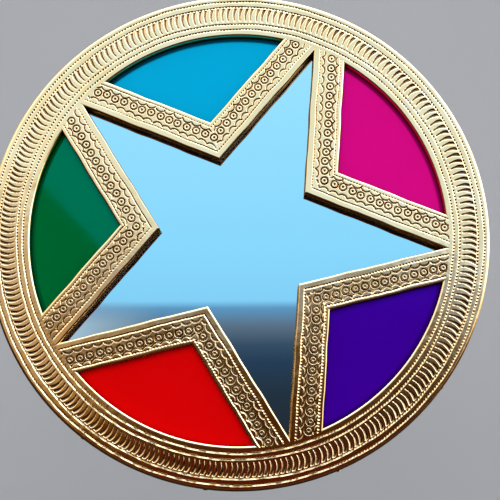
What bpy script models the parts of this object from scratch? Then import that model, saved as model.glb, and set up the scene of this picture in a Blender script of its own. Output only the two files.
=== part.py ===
"""Round wall mirror with a star of looking glass, an engraved brass sheet and five coloured panes.

Every piece is modelled lying on its back: X to the right, Y up the wall and Z away from the wall.
One empty then stands the whole mirror up, so that its front faces -Y and a star tip points to +Z.
The origin is the centre of the back face.
"""

import math

import bmesh
import bpy
from mathutils import Matrix, Vector

MM = 0.001

# Plan of the front
OUTER_RADIUS = 200.0 * MM
RING_WIDTH = 34.0 * MM
TIP_CLEARANCE = 0.1 * MM  # from the folded edge at a star tip to the ring's inner edge
CHEVRON_WIDTH = 26.0 * MM
EDGE_RADIUS = 2.0 * MM  # round-over of the outer edge

# Thicknesses, from the wall to the front
BOARD_THICKNESS = 6.0 * MM
GLASS_THICKNESS = 3.0 * MM
BED_THICKNESS = 0.7 * MM
PANE_THICKNESS = 1.5 * MM
PANE_RECESS = 8.9 * MM  # from the brass front down to a pane
SHEET_THICKNESS = 0.6 * MM
LIP_CLEARANCE = 2.4 * MM  # from the folded edge of the sheet down to a pane
SKIRT_SETBACK = 0.8 * MM  # from the wall to the end of the turned-over edge
FIT_GAP = 0.3 * MM  # between pieces that seat on each other

# Fasteners
TACK_COUNT = 12
TACK_HEAD_RADIUS = 1.8 * MM
TACK_HEAD_HEIGHT = 0.6 * MM
TACK_SHANK_RADIUS = 0.6 * MM
TACK_LENGTH = 6.0 * MM
NAIL_COUNT = 8
NAIL_HEAD_RADIUS = 2.2 * MM
NAIL_HEAD_HEIGHT = 0.9 * MM
NAIL_SHANK_RADIUS = 0.9 * MM
NAIL_GRIP = 7.0 * MM  # length inside the wooden rim
NAIL_SETBACK = 0.2 * MM  # heads lie this far below the back face
SCREW_HEAD_RADIUS = 2.5 * MM
SCREW_HEAD_HEIGHT = 1.6 * MM
SCREW_SHANK_RADIUS = 1.5 * MM
SCREW_GRIP = 9.0 * MM

# Hanger
WIRE_RADIUS = 1.2 * MM
RING_SIDE = 4.0 * MM  # from the bar of the hanger ring to the start of its bow
RING_CORNER = 2.0 * MM
STRAP_WIDTH = 9.0 * MM
STRAP_THICKNESS = 0.95 * MM
STRAP_MARGIN = 2.0 * MM  # from the screw head to the end of the plate
STRAP_SIDE_GAP = 1.5 * MM  # from the strap to the bend of the ring
STRAP_WRAP = math.radians(240.0)  # how far the strap curls round the bar
BAR_CLEARANCE = 0.25 * MM
POCKET_CLEARANCE = 0.9 * MM

# Facets
ROUND_STEPS = 80
PANE_ARC_STEPS = 10
CORNER_STEPS = 4
FASTENER_STEPS = 10
CURL_STEPS = 14
BOW_STEPS = 12
WIRE_FACETS = 2
SHARP_ANGLE = math.radians(35.0)
WELD_DISTANCE = 0.01 * MM

STAR_POINTS = 5
FIRST_TIP = math.radians(90.0)
TIP_STEP = 2.0 * math.pi / STAR_POINTS
PANE_COLOURS = {
    "turquoise": (0.0, 0.38, 0.66),
    "green": (0.0, 0.13, 0.055),
    "red": (0.62, 0.0, 0.002),
    "violet": (0.04, 0.0, 0.29),
    "magenta": (0.6, 0.001, 0.19),
}

# Plan sizes that follow from the driving ones
WINDOW_RADIUS = OUTER_RADIUS - RING_WIDTH
TIP_FOLD = SHEET_THICKNESS / math.sin(TIP_STEP / 4.0)
STAR_TIP_RADIUS = WINDOW_RADIUS - TIP_CLEARANCE - TIP_FOLD
NOTCH_RADIUS = STAR_TIP_RADIUS * math.cos(TIP_STEP) / math.cos(TIP_STEP / 2.0)
ARM_SLOPE = math.pi / 2.0 - TIP_STEP / 2.0  # between a chevron's axis and its arms
WOOD_INSET = SHEET_THICKNESS + FIT_GAP  # from a folded edge to the wood beside it
WOOD_WINDOW_RADIUS = WINDOW_RADIUS + WOOD_INSET
WOOD_OUTER_RADIUS = OUTER_RADIUS - WOOD_INSET

# Levels above the wall
GLASS_BACK = BOARD_THICKNESS + FIT_GAP
GLASS_FRONT = GLASS_BACK + GLASS_THICKNESS
BED_BACK = GLASS_FRONT + FIT_GAP
BED_FRONT = BED_BACK + BED_THICKNESS
PANE_BACK = BED_FRONT + FIT_GAP
PANE_FRONT = PANE_BACK + PANE_THICKNESS
BRASS_FRONT = PANE_FRONT + PANE_RECESS
WOOD_FRONT = BRASS_FRONT - WOOD_INSET
LIP_END = PANE_FRONT + LIP_CLEARANCE

# Hanger places
RING_HALF_SPAN = STRAP_WIDTH / 2.0 + STRAP_SIDE_GAP + RING_CORNER
RING_REACH = RING_SIDE + RING_HALF_SPAN + WIRE_RADIUS
CURL_INNER = WIRE_RADIUS + BAR_CLEARANCE
CURL_OUTER = CURL_INNER + STRAP_THICKNESS
HINGE_HEIGHT = BOARD_THICKNESS - CURL_OUTER
POCKET_REACH = RING_REACH + POCKET_CLEARANCE
HINGE_RADIUS = WOOD_WINDOW_RADIUS + POCKET_REACH
STRAP_BACK = BOARD_THICKNESS - STRAP_THICKNESS
SCREW_OFFSET = (CURL_OUTER + RING_REACH - 2.0 * WIRE_RADIUS) / 2.0
STRAP_LENGTH = SCREW_OFFSET + SCREW_HEAD_RADIUS + STRAP_MARGIN

for stale in list(bpy.data.objects):
    bpy.data.objects.remove(stale, do_unlink=True)

parts = bpy.data.collections.new("star_mirror")
cutters = bpy.data.collections.new("star_mirror_cutters")
bpy.context.scene.collection.children.link(parts)
bpy.context.scene.collection.children.link(cutters)

standing = bpy.data.objects.new("standing_mirror", None)
standing.rotation_euler = (math.pi / 2.0, 0.0, 0.0)
parts.objects.link(standing)


def finish(name, colour, roughness, metallic=0.0):
    """A plain surface finish."""
    material = bpy.data.materials.new(name)
    material.use_nodes = True
    shader = material.node_tree.nodes["Principled BSDF"]
    shader.inputs["Base Color"].default_value = (*colour, 1.0)
    shader.inputs["Roughness"].default_value = roughness
    shader.inputs["Metallic"].default_value = metallic
    return material


BRASS = finish("engraved_brass", (0.72, 0.5, 0.2), 0.3, 1.0)
SILVERING = finish("looking_glass", (0.88, 0.92, 0.93), 0.02, 1.0)
SOFTWOOD = finish("cedar_wood", (0.4, 0.22, 0.1), 0.7)
PLYWOOD = finish("plywood", (0.5, 0.34, 0.19), 0.75)
STEEL = finish("zinced_steel", (0.55, 0.55, 0.54), 0.35, 1.0)


def polar(radius, angle):
    """A point of the plan from its radius and angle."""
    return Vector((radius * math.cos(angle), radius * math.sin(angle)))


def arc(radius, start, end, steps, centre=(0.0, 0.0)):
    """Points along an arc of the plan, both ends included."""
    turn = (end - start) / steps
    return [Vector(centre) + polar(radius, start + turn * i) for i in range(steps + 1)]


def circle(radius):
    """Points of a full round outline."""
    return arc(radius, 0.0, 2.0 * math.pi, ROUND_STEPS)[:-1]


def place(obj, collection, material=None):
    """Puts an object in its collection, under the empty that stands the mirror up."""
    collection.objects.link(obj)
    obj.parent = standing
    if material:
        obj.data.materials.clear()
        obj.data.materials.append(material)
    return obj


def hide_cutter(obj):
    """Marks an object as a cutting tool."""
    obj.hide_render = True
    obj.display_type = "WIRE"
    return place(obj, cutters)


def as_mesh(curve_object, name):
    """Turns a curve or a modified object into a welded mesh."""
    bpy.context.scene.collection.objects.link(curve_object)
    bpy.context.view_layer.update()
    evaluated = curve_object.evaluated_get(bpy.context.evaluated_depsgraph_get())
    mesh = bpy.data.meshes.new_from_object(evaluated)
    bpy.data.objects.remove(curve_object)
    mesh.name = name
    solid = bmesh.new()
    solid.from_mesh(mesh)
    bmesh.ops.remove_doubles(solid, verts=solid.verts, dist=WELD_DISTANCE)
    solid.to_mesh(mesh)
    solid.free()
    return mesh


def outline_curve(name, outlines):
    """A flat filled curve: the first outline, with the others as holes in it."""
    data = bpy.data.curves.new(name, "CURVE")
    data.dimensions = "2D"
    data.fill_mode = "BOTH"
    for outline in outlines:
        spline = data.splines.new("POLY")
        spline.points.add(len(outline) - 1)
        for point, place_in_plan in zip(spline.points, outline):
            point.co = (place_in_plan[0], place_in_plan[1], 0.0, 1.0)
        spline.use_cyclic_u = True
    return data


def plate_mesh(name, outline, back, front):
    """A flat plate between two levels above the wall."""
    data = outline_curve(name, [outline])
    data.extrude = (front - back) / 2.0
    mesh = as_mesh(bpy.data.objects.new(name, data), name)
    mesh.transform(Matrix.Translation((0.0, 0.0, (back + front) / 2.0)))
    return mesh


def plate(name, outline, back, front, material):
    """A flat plate as a part."""
    return place(bpy.data.objects.new(name, plate_mesh(name, outline, back, front)), parts, material)


def turned_mesh(name, profile, steps, closed=False):
    """A profile of (radius, height) points, run down its outer side, turned about Z."""
    mesh = bpy.data.meshes.new(name)
    line = bmesh.new()
    points = [line.verts.new((radius, 0.0, height)) for radius, height in profile]
    for first, second in zip(points, points[1:]):
        line.edges.new((first, second))
    if closed:
        line.edges.new((points[-1], points[0]))
    line.to_mesh(mesh)
    line.free()
    obj = bpy.data.objects.new(name, mesh)
    screw = obj.modifiers.new("turn", "SCREW")
    screw.steps = steps
    screw.render_steps = steps
    screw.use_merge_vertices = True
    screw.merge_threshold = WELD_DISTANCE
    return as_mesh(obj, name)


def fasteners(name, profile, seats, material):
    """A row of equal turned fasteners, one object at each seat."""
    mesh = turned_mesh(name, profile, FASTENER_STEPS)
    for number, seat in enumerate(seats, start=1):
        one = place(bpy.data.objects.new(f"{name}_{number:02d}", mesh), parts, material)
        one.matrix_basis = seat
        smooth(one)


def holes(name, radius, start, end, seats):
    """A cutter for a row of round holes along Z at their seats."""
    profile = [(0.0, end), (radius, end), (radius, start), (0.0, start)]
    mesh = turned_mesh(name, profile, FASTENER_STEPS)
    row = bmesh.new()
    for seat in seats:
        one = mesh.copy()
        one.transform(seat)
        row.from_mesh(one)
        bpy.data.meshes.remove(one)
    row.to_mesh(mesh)
    row.free()
    return hide_cutter(bpy.data.objects.new(name, mesh))


def cut(obj, cutter):
    """Cuts one object with another."""
    boolean = obj.modifiers.new("cut_" + cutter.name, "BOOLEAN")
    boolean.operation = "DIFFERENCE"
    boolean.solver = "EXACT"
    boolean.object = cutter


def smooth(obj):
    """Shades round surfaces smooth and keeps the edges."""
    obj.data.shade_smooth()
    obj.data.set_sharp_from_angle(angle=SHARP_ANGLE)


def fastener_profile(head_radius, head_height, shank_radius, length):
    """Profile of a nail along Z: its head reaches down from zero and its shank goes up to a point."""
    return [
        (0.0, length),
        (shank_radius, length - shank_radius),
        (shank_radius, 0.0),
        (head_radius, 0.0),
        (head_radius, -head_height),
        (0.0, -head_height),
    ]


def tip_angle(index):
    """Angle of a star tip."""
    return FIRST_TIP + TIP_STEP * index


def chevron_angle(index):
    """Angle of the chevron that follows a star tip, anticlockwise."""
    return tip_angle(index) + TIP_STEP / 2.0


def arm_point(offset, radius):
    """Where an arm's long edge meets a circle, in the chevron's own axes.

    The edge lies offset towards the pane from the edge of the star.
    """
    start = NOTCH_RADIUS + offset / math.sin(ARM_SLOPE)
    along = start * math.cos(ARM_SLOPE)
    length = math.sqrt(along**2 + radius**2 - start**2) - along
    return Vector((start + length * math.cos(ARM_SLOPE), length * math.sin(ARM_SLOPE)))


def turned_plan(points, angle):
    """Plan points turned about the centre."""
    turn = Matrix.Rotation(angle, 2)
    return [turn @ point for point in points]


def star_outline():
    """The star window."""
    points = []
    for index in range(STAR_POINTS):
        points.append(polar(STAR_TIP_RADIUS, tip_angle(index)))
        points.append(polar(NOTCH_RADIUS, chevron_angle(index)))
    return points


def pane_outline(index, inset):
    """A pane's window, drawn in by inset on all sides."""
    offset = CHEVRON_WIDTH + inset
    corner = arm_point(offset, WINDOW_RADIUS - inset)
    half_angle = math.atan2(corner.y, corner.x)
    apex = Vector((NOTCH_RADIUS + offset / math.sin(ARM_SLOPE), 0.0))
    rim = arc(WINDOW_RADIUS - inset, -half_angle, half_angle, PANE_ARC_STEPS)
    return turned_plan([apex, *rim], chevron_angle(index))


def batten_outline(index, side):
    """One mitred batten of a chevron: side is +1 anticlockwise of the chevron's axis and -1 clockwise."""
    reach = WOOD_WINDOW_RADIUS - FIT_GAP
    star_edge = WOOD_INSET
    pane_edge = CHEVRON_WIDTH - WOOD_INSET
    mitre = FIT_GAP / 2.0

    def on_mitre(offset):
        start = NOTCH_RADIUS + offset / math.sin(ARM_SLOPE)
        return Vector((start + mitre / math.tan(ARM_SLOPE), mitre))

    tip = arm_point(star_edge, reach)
    limit = TIP_STEP / 2.0 - mitre / reach
    pane_corner = arm_point(pane_edge, reach)
    points = [on_mitre(pane_edge), pane_corner]
    tip_bearing = math.atan2(tip.y, tip.x)
    if tip_bearing > limit:
        start = NOTCH_RADIUS + star_edge / math.sin(ARM_SLOPE)
        distance = start * math.sin(ARM_SLOPE) / math.sin(ARM_SLOPE - limit)
        points += [polar(reach, limit), polar(distance, limit)]
    else:
        points.append(tip)
    points.append(on_mitre(star_edge))
    mirrored = [Vector((point.x, side * point.y)) for point in points]
    return turned_plan(mirrored, chevron_angle(index))


def base_board():
    """Round plywood back, with the hanger's pocket and the nail holes."""
    board = plate("base_board", circle(WOOD_OUTER_RADIUS), 0.0, BOARD_THICKNESS, PLYWOOD)
    half_width = RING_HALF_SPAN + WIRE_RADIUS + POCKET_CLEARANCE
    low = HINGE_RADIUS - POCKET_REACH
    high = HINGE_RADIUS + POCKET_REACH
    corners = [(-half_width, low), (half_width, low), (half_width, high), (-half_width, high)]
    pocket = plate_mesh("hanger_pocket", corners, -BOARD_THICKNESS, 2.0 * BOARD_THICKNESS)
    cut(board, hide_cutter(bpy.data.objects.new("hanger_pocket", pocket)))
    return board


def wooden_rim():
    """Wooden ring under the brass ring, with a rounded front edge."""
    wood_round = EDGE_RADIUS - WOOD_INSET
    centre = (WOOD_OUTER_RADIUS - wood_round, WOOD_FRONT - wood_round)
    rounded = arc(wood_round, math.pi / 2.0, 0.0, CORNER_STEPS, centre)
    profile = [
        (WOOD_WINDOW_RADIUS, GLASS_BACK),
        (WOOD_WINDOW_RADIUS, WOOD_FRONT),
        *[tuple(point) for point in rounded],
        (WOOD_OUTER_RADIUS, GLASS_BACK),
    ]
    mesh = turned_mesh("wooden_rim", profile, ROUND_STEPS, closed=True)
    rim = place(bpy.data.objects.new("wooden_rim", mesh), parts, SOFTWOOD)
    smooth(rim)
    return rim


def mirror_glass():
    """Round looking glass inside the rim, under the battens."""
    outline = circle(WOOD_WINDOW_RADIUS - FIT_GAP)
    return plate("mirror_glass", outline, GLASS_BACK, GLASS_FRONT, SILVERING)


def chevrons_and_panes():
    """Battens, beds and panes of the five fields round the star."""
    for index, (colour, shade) in enumerate(PANE_COLOURS.items()):
        for word, side in (("left", 1), ("right", -1)):
            outline = batten_outline(index, side)
            plate(f"{colour}_batten_{word}", outline, BED_BACK, WOOD_FRONT, SOFTWOOD)
        under_lip = pane_outline(index, -SHEET_THICKNESS)
        plate(f"{colour}_pane_bed", under_lip, BED_BACK, BED_FRONT, PLYWOOD)
        lacquer = finish(f"{colour}_resin", shade, 0.08)
        plate(f"{colour}_pane", under_lip, PANE_BACK, PANE_FRONT, lacquer)


def brass_front():
    """One brass sheet: windows with folded edges, and an edge turned over the rim."""
    flat_radius = OUTER_RADIUS - EDGE_RADIUS
    windows = [star_outline(), *[pane_outline(index, 0.0) for index in range(STAR_POINTS)]]
    data = outline_curve("brass_front", [circle(flat_radius), *windows])
    mesh = as_mesh(bpy.data.objects.new("brass_front", data), "brass_front")
    sheet = bmesh.new()
    sheet.from_mesh(mesh)
    bmesh.ops.translate(sheet, verts=sheet.verts, vec=(0.0, 0.0, BRASS_FRONT))
    borders = [edge for edge in sheet.edges if edge.is_boundary]
    halfway = (flat_radius + WINDOW_RADIUS) / 2.0
    outer = [edge for edge in borders if edge.verts[0].co.to_2d().length > halfway]
    inner = [edge for edge in borders if edge.verts[0].co.to_2d().length <= halfway]

    def fold(edges, radius, level):
        """Draws a border on to a new level, and to a new radius where one is given."""
        grown = bmesh.ops.extrude_edge_only(sheet, edges=edges)["geom"]
        for vert in (item for item in grown if isinstance(item, bmesh.types.BMVert)):
            vert.co.z = level
            if radius:
                vert.co.xy = vert.co.to_2d().normalized() * radius
        return [item for item in grown if isinstance(item, bmesh.types.BMEdge)]

    fold(inner, None, LIP_END)
    corner = (flat_radius, BRASS_FRONT - EDGE_RADIUS)
    for radius, level in arc(EDGE_RADIUS, math.pi / 2.0, 0.0, CORNER_STEPS, corner)[1:]:
        outer = fold(outer, radius, level)
    fold(outer, OUTER_RADIUS, SKIRT_SETBACK)
    bmesh.ops.recalc_face_normals(sheet, faces=sheet.faces)
    front_face = max(sheet.faces, key=lambda face: face.calc_center_median().z)
    if front_face.normal.z < 0.0:
        bmesh.ops.reverse_faces(sheet, faces=sheet.faces)
    sheet.to_mesh(mesh)
    sheet.free()
    front = place(bpy.data.objects.new("brass_front", mesh), parts, BRASS)
    gauge = front.modifiers.new("gauge", "SOLIDIFY")
    gauge.solidify_mode = "NON_MANIFOLD"
    gauge.nonmanifold_thickness_mode = "CONSTRAINTS"
    gauge.thickness = SHEET_THICKNESS
    gauge.offset = -1.0
    smooth(front)
    return front


def rim_tacks(rim, front):
    """Tacks round the edge, through the turned-over sheet into the wooden rim."""
    level = (GLASS_BACK + BRASS_FRONT - EDGE_RADIUS) / 2.0
    seats = []
    for index in range(TACK_COUNT):
        outward = polar(1.0, FIRST_TIP + 2.0 * math.pi * (index + 0.5) / TACK_COUNT).to_3d()
        seat = outward * (OUTER_RADIUS + FIT_GAP) + Vector((0.0, 0.0, level))
        facing = (-outward).to_track_quat("Z", "Y").to_matrix().to_4x4()
        seats.append(Matrix.Translation(seat) @ facing)
    profile = fastener_profile(TACK_HEAD_RADIUS, TACK_HEAD_HEIGHT, TACK_SHANK_RADIUS, TACK_LENGTH)
    fasteners("rim_tack", profile, seats, BRASS)
    bore = holes("tack_holes", TACK_SHANK_RADIUS + FIT_GAP, -FIT_GAP, TACK_LENGTH + FIT_GAP, seats)
    cut(rim, bore)
    cut(front, bore)


def board_nails(board, rim):
    """Nails through the back into the wooden rim, with sunk heads."""
    radius = (WOOD_WINDOW_RADIUS + WOOD_OUTER_RADIUS) / 2.0
    head_top = NAIL_SETBACK + NAIL_HEAD_HEIGHT
    seats = []
    for index in range(NAIL_COUNT):
        spot = polar(radius, FIRST_TIP + 2.0 * math.pi * (index + 0.5) / NAIL_COUNT)
        seats.append(Matrix.Translation((spot.x, spot.y, head_top)))
    length = GLASS_BACK - head_top + NAIL_GRIP
    profile = fastener_profile(NAIL_HEAD_RADIUS, NAIL_HEAD_HEIGHT, NAIL_SHANK_RADIUS, length)
    fasteners("board_nail", profile, seats, STEEL)
    bore = holes("nail_holes", NAIL_SHANK_RADIUS + FIT_GAP, 0.0, length + FIT_GAP, seats)
    sink = holes("nail_sinks", NAIL_HEAD_RADIUS + FIT_GAP, -2.0 * head_top, FIT_GAP, seats)
    cut(board, bore)
    cut(board, sink)
    cut(rim, bore)


def hanger(rim):
    """Strap plate, its screw and the ring that swings in the curl of the strap."""
    hinge = Vector((0.0, HINGE_RADIUS, HINGE_HEIGHT))
    start = math.pi / 2.0
    outer = arc(CURL_OUTER, start, start + STRAP_WRAP, CURL_STEPS)
    inner = arc(CURL_INNER, start + STRAP_WRAP, start, CURL_STEPS)
    profile = [(STRAP_LENGTH, CURL_OUTER), *outer, *inner, (STRAP_LENGTH, CURL_INNER)]
    strap = plate_mesh("hanger_plate", profile, -STRAP_WIDTH / 2.0, STRAP_WIDTH / 2.0)
    along_wall = Matrix(((0, 0, 1, 0), (1, 0, 0, 0), (0, 1, 0, 0), (0, 0, 0, 1)))
    strap.transform(Matrix.Translation(hinge) @ along_wall)
    strap_plate = place(bpy.data.objects.new("hanger_plate", strap), parts, STEEL)

    seat = Matrix.Translation((0.0, HINGE_RADIUS + SCREW_OFFSET, STRAP_BACK - FIT_GAP))
    length = FIT_GAP + STRAP_THICKNESS + FIT_GAP + SCREW_GRIP
    screw = turned_mesh(
        "hanger_screw",
        fastener_profile(SCREW_HEAD_RADIUS, SCREW_HEAD_HEIGHT, SCREW_SHANK_RADIUS, length),
        FASTENER_STEPS,
    )
    screw.transform(seat)
    smooth(place(bpy.data.objects.new("hanger_screw", screw), parts, STEEL))
    bore = holes("screw_hole", SCREW_SHANK_RADIUS + FIT_GAP, -FIT_GAP, length + FIT_GAP, [seat])
    cut(strap_plate, bore)
    cut(rim, bore)

    bar = RING_HALF_SPAN - RING_CORNER
    right = arc(RING_CORNER, math.pi / 2.0, 0.0, CORNER_STEPS, (bar, -RING_CORNER))
    left = arc(RING_CORNER, math.pi, math.pi / 2.0, CORNER_STEPS, (-bar, -RING_CORNER))
    bow = arc(RING_HALF_SPAN, 0.0, -math.pi, BOW_STEPS, (0.0, -RING_SIDE))
    data = bpy.data.curves.new("hanger_ring", "CURVE")
    data.dimensions = "3D"
    data.bevel_depth = WIRE_RADIUS
    data.bevel_resolution = WIRE_FACETS
    route = [*right, *bow, *left]
    spline = data.splines.new("POLY")
    spline.points.add(len(route) - 1)
    for point, plan in zip(spline.points, route):
        point.co = (plan.x, plan.y, 0.0, 1.0)
    spline.use_cyclic_u = True
    ring_mesh = as_mesh(bpy.data.objects.new("hanger_ring", data), "hanger_ring")
    ring = place(bpy.data.objects.new("hanger_ring", ring_mesh), parts, STEEL)
    ring.location = hinge
    smooth(ring)


back = base_board()
rim_ring = wooden_rim()
mirror_glass()
chevrons_and_panes()
sheet_front = brass_front()
rim_tacks(rim_ring, sheet_front)
board_nails(back, rim_ring)
hanger(rim_ring)
bpy.context.view_layer.update()
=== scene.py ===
"""Looks of a round wall mirror: a punched brass front, five coloured panes, a star of looking glass and a plain back."""

import logging
import math
from dataclasses import dataclass
from enum import Enum

import bmesh
import bpy
import numpy as np
from mathutils import Matrix, Vector


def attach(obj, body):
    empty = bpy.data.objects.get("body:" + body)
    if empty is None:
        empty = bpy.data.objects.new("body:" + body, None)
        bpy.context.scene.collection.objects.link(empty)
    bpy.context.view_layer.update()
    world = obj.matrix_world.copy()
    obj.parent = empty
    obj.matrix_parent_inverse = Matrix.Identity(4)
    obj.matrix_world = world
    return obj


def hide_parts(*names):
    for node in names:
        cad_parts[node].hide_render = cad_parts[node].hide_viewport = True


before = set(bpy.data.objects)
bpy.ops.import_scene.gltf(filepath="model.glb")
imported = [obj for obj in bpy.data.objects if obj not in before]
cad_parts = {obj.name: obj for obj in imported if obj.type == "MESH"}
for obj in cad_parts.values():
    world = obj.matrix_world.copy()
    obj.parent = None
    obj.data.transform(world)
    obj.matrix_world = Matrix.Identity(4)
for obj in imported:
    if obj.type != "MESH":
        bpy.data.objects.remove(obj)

LOG = logging.getLogger("wall_mirror")
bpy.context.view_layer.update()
BODY = "mirror"
RING_BODY = "hanger_ring"
MM = 0.001
STAND_UP = Matrix.Rotation(math.radians(90.0), 4, "X") @ Matrix.Scale(MM, 4)
STAR_POINTS = 5
STEP = 2.0 * math.pi / STAR_POINTS

Colour = tuple[float, float, float]


def fade(value: np.ndarray, start: float, end: float) -> np.ndarray:
    """Smooth step that is 0 at start and 1 at end."""
    share = np.clip((value - start) / (end - start), 0.0, 1.0)
    return share * share * (3.0 - 2.0 * share)


def dent(distance: np.ndarray, half_width: np.ndarray | float) -> np.ndarray:
    """Rounded groove profile, 1 on its line and 0 from its half width outwards."""
    share = np.clip(np.abs(distance) / half_width, 0.0, 1.0)
    return (1.0 - share * share) ** 2


def crease(distance: np.ndarray, half_width: float) -> np.ndarray:
    """Groove profile with a sharp bottom, 1 on its line and 0 from its half width outwards."""
    share = np.clip(np.abs(distance) / half_width, 0.0, 1.0)
    return (1.0 - share) * (1.0 + 0.35 * share)


def patina_and_shade(depth: np.ndarray) -> np.ndarray:
    """Share of dark patina and painted shade in a punch mark that is as deep as given in mm."""
    return fade(depth, 0.07, 0.25)


def sheet_waves(x: np.ndarray, y: np.ndarray) -> np.ndarray:
    """Slight unevenness of hand-worked sheet.

    Args:
        x: plan places to the right, in mm.
        y: plan places up the wall, in mm.

    Returns:
        Heights in mm, never above 0.
    """
    rng = np.random.default_rng(17)
    total = np.zeros_like(x)
    for length, size in ((41.0, 0.05), (27.0, 0.04), (13.0, 0.02), (8.5, 0.01), (6.0, 0.005)):
        for _ in range(3):
            way, start = rng.uniform(0.0, 2.0 * math.pi, 2)
            run = x * math.cos(way) + y * math.sin(way)
            total += size / 3.0 * (np.sin(2.0 * math.pi * run / length + start) - 1.0)
    return total


class PaneColour(Enum):
    """The five panes, each with the angle of its middle line in degrees."""

    TURQUOISE = 126.0
    GREEN = 198.0
    RED = 270.0
    VIOLET = 342.0
    MAGENTA = 54.0

    @property
    def label(self) -> str:
        """Name that the pane's nodes start with."""
        return self.name.lower()

    @property
    def angle(self) -> float:
        """Angle of the pane's middle line in radians."""
        return math.radians(self.value)


class ShaderGraph:
    """Node tree of one material, with short calls for its nodes."""

    def __init__(self, name: str) -> None:
        """Start a material that holds only a Principled shader and its output."""
        self.material = bpy.data.materials.new(name)
        self.material.use_nodes = True
        self.nodes = self.material.node_tree.nodes
        self.links = self.material.node_tree.links
        self.shader = self.nodes["Principled BSDF"]
        self.place = self.add("ShaderNodeTexCoord").outputs["Object"]

    def add(self, kind: str, **settings: object) -> bpy.types.Node:
        """Add a node.

        Args:
            kind: the node's type name.
            settings: node attributes to set.

        Returns:
            The new node.
        """
        node = self.nodes.new(kind)
        for key, value in settings.items():
            setattr(node, key, value)
        return node

    def feed(self, socket: bpy.types.NodeSocket, value: object) -> None:
        """Link an output to a socket, or set the socket's own value."""
        if isinstance(value, bpy.types.NodeSocket):
            self.links.new(value, socket)
        else:
            socket.default_value = value

    def fix(self, **values: object) -> None:
        """Set constant values of the Principled shader, with underscores for the spaces in their names."""
        for key, value in values.items():
            self.shader.inputs[key.replace("_", " ")].default_value = value

    def drive(self, name: str, output: bpy.types.NodeSocket) -> None:
        """Link an output to the Principled shader."""
        self.links.new(output, self.shader.inputs[name])

    def stretched(self, scale: Colour, turn: float = 0.0) -> bpy.types.NodeSocket:
        """Object coordinates, turned about the wall's normal and scaled."""
        node = self.add("ShaderNodeMapping")
        node.inputs["Rotation"].default_value = (0.0, turn, 0.0)
        node.inputs["Scale"].default_value = scale
        self.links.new(self.place, node.inputs["Vector"])
        return node.outputs["Vector"]

    def reach(self) -> bpy.types.NodeSocket:
        """Distance from the mirror's middle, along the wall."""
        node = self.add("ShaderNodeVectorMath", operation="LENGTH")
        self.links.new(self.stretched((1.0, 0.0, 1.0)), node.inputs[0])
        return node.outputs["Value"]

    def noise(self, scale: float, detail: float = 2.0, roughness: float = 0.5,
              vector: bpy.types.NodeSocket | None = None) -> bpy.types.NodeSocket:
        """Noise texture.

        Args:
            scale: cells per metre.
            detail: number of finer layers.
            roughness: share of the finer layers.
            vector: coordinates, the object's own unless given.

        Returns:
            The noise value, around 0.5.
        """
        node = self.add("ShaderNodeTexNoise")
        node.inputs["Scale"].default_value = scale
        node.inputs["Detail"].default_value = detail
        node.inputs["Roughness"].default_value = roughness
        self.links.new(vector or self.place, node.inputs["Vector"])
        return node.outputs["Fac"]

    def remap(self, value: bpy.types.NodeSocket, low: float, high: float,
              to_low: float = 0.0, to_high: float = 1.0) -> bpy.types.NodeSocket:
        """Map a range of values to another, clamped."""
        node = self.add("ShaderNodeMapRange")
        self.links.new(value, node.inputs["Value"])
        for key, number in (("From Min", low), ("From Max", high), ("To Min", to_low), ("To Max", to_high)):
            node.inputs[key].default_value = number
        return node.outputs["Result"]

    def math(self, operation: str, first: object, second: object) -> bpy.types.NodeSocket:
        """Sum, product or other calculation of two values."""
        node = self.add("ShaderNodeMath", operation=operation)
        self.feed(node.inputs[0], first)
        self.feed(node.inputs[1], second)
        return node.outputs["Value"]

    def blend(self, factor: bpy.types.NodeSocket, first: object, second: object) -> bpy.types.NodeSocket:
        """Mix two colours by a factor."""
        node = self.add("ShaderNodeMix", data_type="RGBA")
        self.links.new(factor, node.inputs["Factor"])
        for key, colour in ((6, first), (7, second)):
            self.feed(node.inputs[key], colour if isinstance(colour, bpy.types.NodeSocket) else (*colour, 1.0))
        return node.outputs[2]

    def bump(self, height: bpy.types.NodeSocket, strength: float, depth: float) -> None:
        """Put a bump on the Principled shader.

        Args:
            height: height from 0 to 1.
            strength: share of the bump.
            depth: height in metres that 1 stands for.
        """
        node = self.add("ShaderNodeBump")
        node.inputs["Strength"].default_value = strength
        node.inputs["Distance"].default_value = depth
        self.links.new(height, node.inputs["Height"])
        self.drive("Normal", node.outputs["Normal"])


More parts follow.
